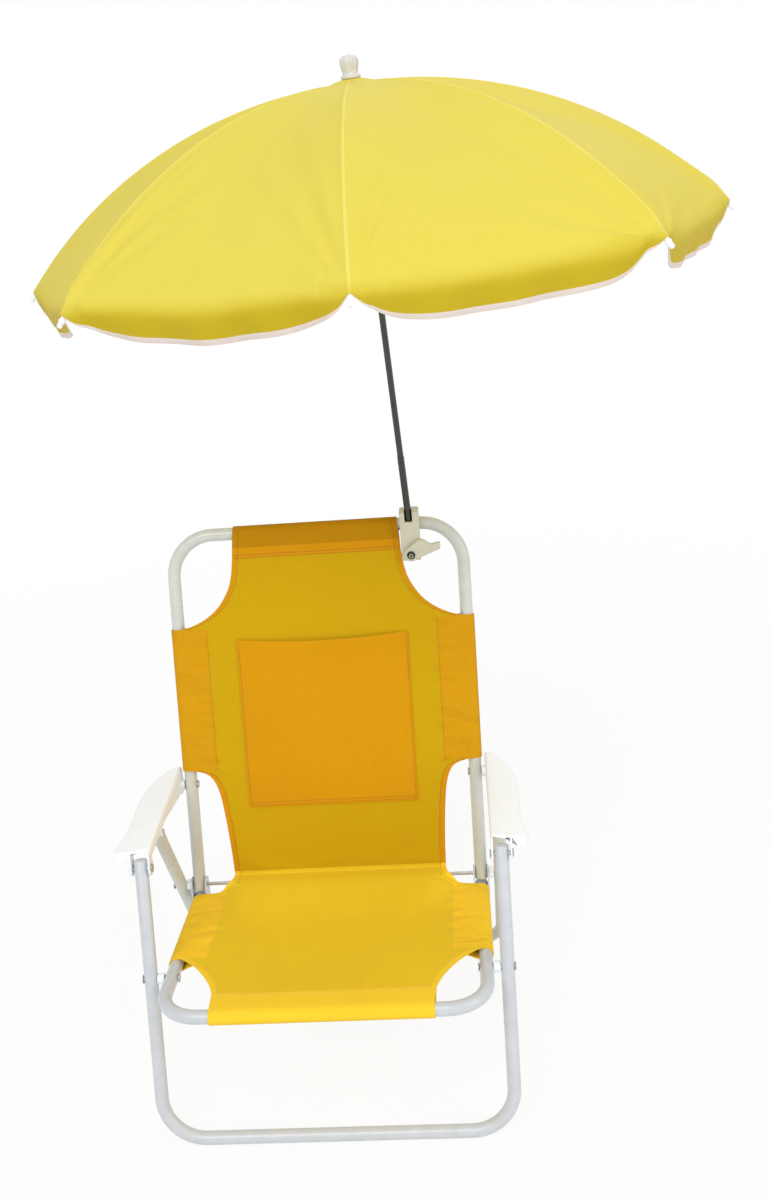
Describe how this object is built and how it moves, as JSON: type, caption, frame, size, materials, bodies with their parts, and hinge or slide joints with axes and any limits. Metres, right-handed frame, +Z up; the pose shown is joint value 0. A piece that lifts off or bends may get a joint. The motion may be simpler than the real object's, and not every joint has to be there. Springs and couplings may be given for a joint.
{
  "type": "folding beach chair with umbrella",
  "caption": "Low folding sling chair with white tube frame, moulded armrests and a clamp-on folding umbrella over the seat.",
  "frame": {"origin": "on the ground below the middle of the front ground bar", "axes": "+Z up, the chair faces -Y, +X is the viewer's right from the front"},
  "size_m": [0.7138, 0.7141, 1.027],
  "materials": {
    "frame_paint": "white gloss powder coat on steel tube",
    "white_plastic": "warm white moulded plastic",
    "sling_fabric": "woven mustard yellow polyester",
    "pocket_fabric": "woven orange yellow polyester",
    "canopy_fabric": "thin lemon yellow polyester",
    "rivet_steel": "zinc plated steel",
    "pole_steel": "dark plated steel"
  },
  "bodies": {
    "seat": {"seat_frame": "frame_paint", "seat_sling": "sling_fabric", "sling_crease": "sling_fabric", "hinge_axle": "rivet_steel", "left_leg_rivet": "rivet_steel", "right_leg_rivet": "rivet_steel", "left_leg_spacer": "white_plastic", "right_leg_spacer": "white_plastic", "left_hinge_washer": "white_plastic", "right_hinge_washer": "white_plastic", "left_hinge_bracket": "frame_paint", "right_hinge_bracket": "frame_paint"},
    "back": {"back_frame": "frame_paint", "back_sling": "sling_fabric", "back_pocket": "pocket_fabric", "left_back_rivet": "rivet_steel", "right_back_rivet": "rivet_steel"},
    "front_leg": {"front_leg_frame": "frame_paint", "left_arm_rivet": "rivet_steel", "right_arm_rivet": "rivet_steel"},
    "rear_leg": {"rear_leg_frame": "frame_paint", "left_slide_pin": "rivet_steel", "right_slide_pin": "rivet_steel"},
    "left_armrest": {"left_armrest": "white_plastic"},
    "right_armrest": {"right_armrest": "white_plastic"},
    "clamp": {"clamp_front_jaw": "white_plastic", "clamp_bolt": "pole_steel"},
    "clamp_jaw": {"clamp_rear_jaw": "white_plastic", "clamp_nut": "pole_steel"},
    "clamp_lever": {"clamp_lever": "white_plastic"},
    "pole": {"lower_pole": "pole_steel", "pole_button": "white_plastic"},
    "umbrella": {"upper_pole": "pole_steel", "notch": "white_plastic", "finial": "white_plastic", "canopy": "canopy_fabric"},
    "runner": {"runner": "white_plastic"},
    "rib_1": {"rib_1": "pole_steel"},
    "rib_2": {"rib_2": "pole_steel"},
    "rib_3": {"rib_3": "pole_steel"},
    "rib_4": {"rib_4": "pole_steel"},
    "rib_5": {"rib_5": "pole_steel"},
    "rib_6": {"rib_6": "pole_steel"},
    "rib_7": {"rib_7": "pole_steel"},
    "rib_8": {"rib_8": "pole_steel"},
    "stretcher_1": {"stretcher_1": "pole_steel"},
    "stretcher_2": {"stretcher_2": "pole_steel"},
    "stretcher_3": {"stretcher_3": "pole_steel"},
    "stretcher_4": {"stretcher_4": "pole_steel"},
    "stretcher_5": {"stretcher_5": "pole_steel"},
    "stretcher_6": {"stretcher_6": "pole_steel"},
    "stretcher_7": {"stretcher_7": "pole_steel"},
    "stretcher_8": {"stretcher_8": "pole_steel"}
  },
  "joints": [
    {"name": "back_fold", "type": "hinge", "parent": "seat", "child": "back", "pos_m": [0, 0.21354, 0.17012], "axis": [1, 0, 0], "range_deg": [0, 92], "deforming": ["sling_crease"]},
    {"name": "front_leg_fold", "type": "hinge", "parent": "seat", "child": "front_leg", "pos_m": [0, 0.0516, 0.1745], "axis": [1, 0, 0], "range_deg": [0, 92]},
    {"name": "left_arm_turn", "type": "hinge", "parent": "back", "child": "left_armrest", "pos_m": [0, 0.24824, 0.2829], "axis": [1, 0, 0], "range_deg": [-92, 0]},
    {"name": "right_arm_turn", "type": "hinge", "parent": "back", "child": "right_armrest", "pos_m": [0, 0.24824, 0.2829], "axis": [1, 0, 0], "range_deg": [-92, 0]},
    {"name": "rear_leg_fold", "type": "hinge", "parent": "seat", "child": "rear_leg", "pos_m": [0, 0.21354, 0.17012], "axis": [1, 0, 0], "range_deg": [0, 51.8]},
    {"name": "clamp_tilt", "type": "hinge", "parent": "back", "child": "clamp", "pos_m": [0.105, 0.33116, 0.55244], "axis": [1, 0, 0], "range_deg": [-20, 20]},
    {"name": "clamp_lever_turn", "type": "hinge", "parent": "clamp", "child": "clamp_lever", "pos_m": [0.105, 0.32987, 0.52477], "axis": [0, 0.9989, -0.0468], "range_deg": [0, 90]},
    {"name": "jaw_open", "type": "slide", "parent": "clamp", "child": "clamp_jaw", "axis": [0, 0.9989, -0.0468], "range_m": [0, 0.0019]},
    {"name": "pole_lift", "type": "slide", "parent": "clamp", "child": "pole", "axis": [-0.0556, 0.0467, 0.9974], "range_m": [0, 0.045]},
    {"name": "umbrella_swivel", "type": "hinge", "parent": "pole", "child": "umbrella", "pos_m": [0.105, 0.31768, 0.55307], "axis": [-0.0556, 0.0467, 0.9974], "range_deg": [-180, 180]},
    {"name": "runner_slide", "type": "slide", "parent": "umbrella", "child": "runner", "axis": [0.0556, -0.0467, -0.9974], "range_m": [0, 0.2362], "deforming": ["canopy"]},
    {"name": "rib_turn_1", "type": "hinge", "parent": "umbrella", "child": "rib_1", "pos_m": [0.08021, 0.33028, 0.99778], "axis": [0.9985, 0.0026, 0.0556], "range_deg": [0, 62], "deforming": ["canopy"]},
    {"name": "rib_turn_2", "type": "hinge", "parent": "umbrella", "child": "rib_2", "pos_m": [0.086, 0.3327, 0.99799], "axis": [0.706, 0.7082, 0.0062], "range_deg": [0, 62], "deforming": ["canopy"]},
    {"name": "rib_turn_3", "type": "hinge", "parent": "umbrella", "child": "rib_3", "pos_m": [0.0884, 0.3385, 0.99785], "axis": [0, 0.9989, -0.0468], "range_deg": [0, 62], "deforming": ["canopy"]},
    {"name": "rib_turn_4", "type": "hinge", "parent": "umbrella", "child": "rib_4", "pos_m": [0.086, 0.34428, 0.99744], "axis": [-0.706, 0.7045, -0.0724], "range_deg": [0, 62], "deforming": ["canopy"]},
    {"name": "rib_turn_5", "type": "hinge", "parent": "umbrella", "child": "rib_5", "pos_m": [0.08021, 0.34667, 0.99701], "axis": [-0.9985, -0.0026, -0.0556], "range_deg": [0, 62], "deforming": ["canopy"]},
    {"name": "rib_turn_6", "type": "hinge", "parent": "umbrella", "child": "rib_6", "pos_m": [0.07442, 0.34425, 0.9968], "axis": [-0.706, -0.7082, -0.0062], "range_deg": [0, 62], "deforming": ["canopy"]},
    {"name": "rib_turn_7", "type": "hinge", "parent": "umbrella", "child": "rib_7", "pos_m": [0.07202, 0.33845, 0.99694], "axis": [0, -0.9989, 0.0468], "range_deg": [0, 62], "deforming": ["canopy"]},
    {"name": "rib_turn_8", "type": "hinge", "parent": "umbrella", "child": "rib_8", "pos_m": [0.07442, 0.33267, 0.99734], "axis": [0.706, -0.7045, 0.0724], "range_deg": [0, 62], "deforming": ["canopy"]},
    {"name": "stretcher_turn_1", "type": "hinge", "parent": "rib_1", "child": "stretcher_1", "pos_m": [0.08175, 0.17876, 0.97725], "axis": [0.9985, 0.0026, 0.0556], "range_deg": [-124, 0], "deforming": ["canopy"]},
    {"name": "stretcher_turn_2", "type": "hinge", "parent": "rib_2", "child": "stretcher_2", "pos_m": [0.19372, 0.22545, 0.98132], "axis": [0.706, 0.7082, 0.0062], "range_deg": [-124, 0], "deforming": ["canopy"]},
    {"name": "stretcher_turn_3", "type": "hinge", "parent": "rib_3", "child": "stretcher_3", "pos_m": [0.2401, 0.3376, 0.97865], "axis": [0, 0.9989, -0.0468], "range_deg": [-124, 0], "deforming": ["canopy"]},
    {"name": "stretcher_turn_4", "type": "hinge", "parent": "rib_4", "child": "stretcher_4", "pos_m": [0.19372, 0.4495, 0.97083], "axis": [-0.706, 0.7045, -0.0724], "range_deg": [-124, 0], "deforming": ["canopy"]},
    {"name": "stretcher_turn_5", "type": "hinge", "parent": "rib_5", "child": "stretcher_5", "pos_m": [0.08175, 0.49561, 0.96242], "axis": [-0.9985, -0.0026, -0.0556], "range_deg": [-124, 0], "deforming": ["canopy"]},
    {"name": "stretcher_turn_6", "type": "hinge", "parent": "rib_6", "child": "stretcher_6", "pos_m": [-0.03022, 0.44891, 0.95836], "axis": [-0.706, -0.7082, -0.0062], "range_deg": [-124, 0], "deforming": ["canopy"]},
    {"name": "stretcher_turn_7", "type": "hinge", "parent": "rib_7", "child": "stretcher_7", "pos_m": [-0.0766, 0.33677, 0.96102], "axis": [0, -0.9989, 0.0468], "range_deg": [-124, 0], "deforming": ["canopy"]},
    {"name": "stretcher_turn_8", "type": "hinge", "parent": "rib_8", "child": "stretcher_8", "pos_m": [-0.03022, 0.22487, 0.96885], "axis": [0.706, -0.7045, 0.0724], "range_deg": [-124, 0], "deforming": ["canopy"]}
  ],
  "couplings": [
    {"joint": "front_leg_fold", "follows": "back_fold", "ratio": 1},
    {"joint": "left_arm_turn", "follows": "back_fold", "ratio": -1},
    {"joint": "right_arm_turn", "follows": "back_fold", "ratio": -1},
    {"joint": "rear_leg_fold", "follows": "back_fold", "ratio": 0.563},
    {"joint": "jaw_open", "follows": "clamp_lever_turn", "m_per_rad": 0.0012},
    {"joint": "rib_turn_1", "follows": "runner_slide", "rad_per_m": 4.5799},
    {"joint": "rib_turn_2", "follows": "runner_slide", "rad_per_m": 4.5799},
    {"joint": "rib_turn_3", "follows": "runner_slide", "rad_per_m": 4.5799},
    {"joint": "rib_turn_4", "follows": "runner_slide", "rad_per_m": 4.5799},
    {"joint": "rib_turn_5", "follows": "runner_slide", "rad_per_m": 4.5799},
    {"joint": "rib_turn_6", "follows": "runner_slide", "rad_per_m": 4.5799},
    {"joint": "rib_turn_7", "follows": "runner_slide", "rad_per_m": 4.5799},
    {"joint": "rib_turn_8", "follows": "runner_slide", "rad_per_m": 4.5799},
    {"joint": "stretcher_turn_1", "follows": "runner_slide", "rad_per_m": -9.1598},
    {"joint": "stretcher_turn_2", "follows": "runner_slide", "rad_per_m": -9.1598},
    {"joint": "stretcher_turn_3", "follows": "runner_slide", "rad_per_m": -9.1598},
    {"joint": "stretcher_turn_4", "follows": "runner_slide", "rad_per_m": -9.1598},
    {"joint": "stretcher_turn_5", "follows": "runner_slide", "rad_per_m": -9.1598},
    {"joint": "stretcher_turn_6", "follows": "runner_slide", "rad_per_m": -9.1598},
    {"joint": "stretcher_turn_7", "follows": "runner_slide", "rad_per_m": -9.1598},
    {"joint": "stretcher_turn_8", "follows": "runner_slide", "rad_per_m": -9.1598}
  ]
}
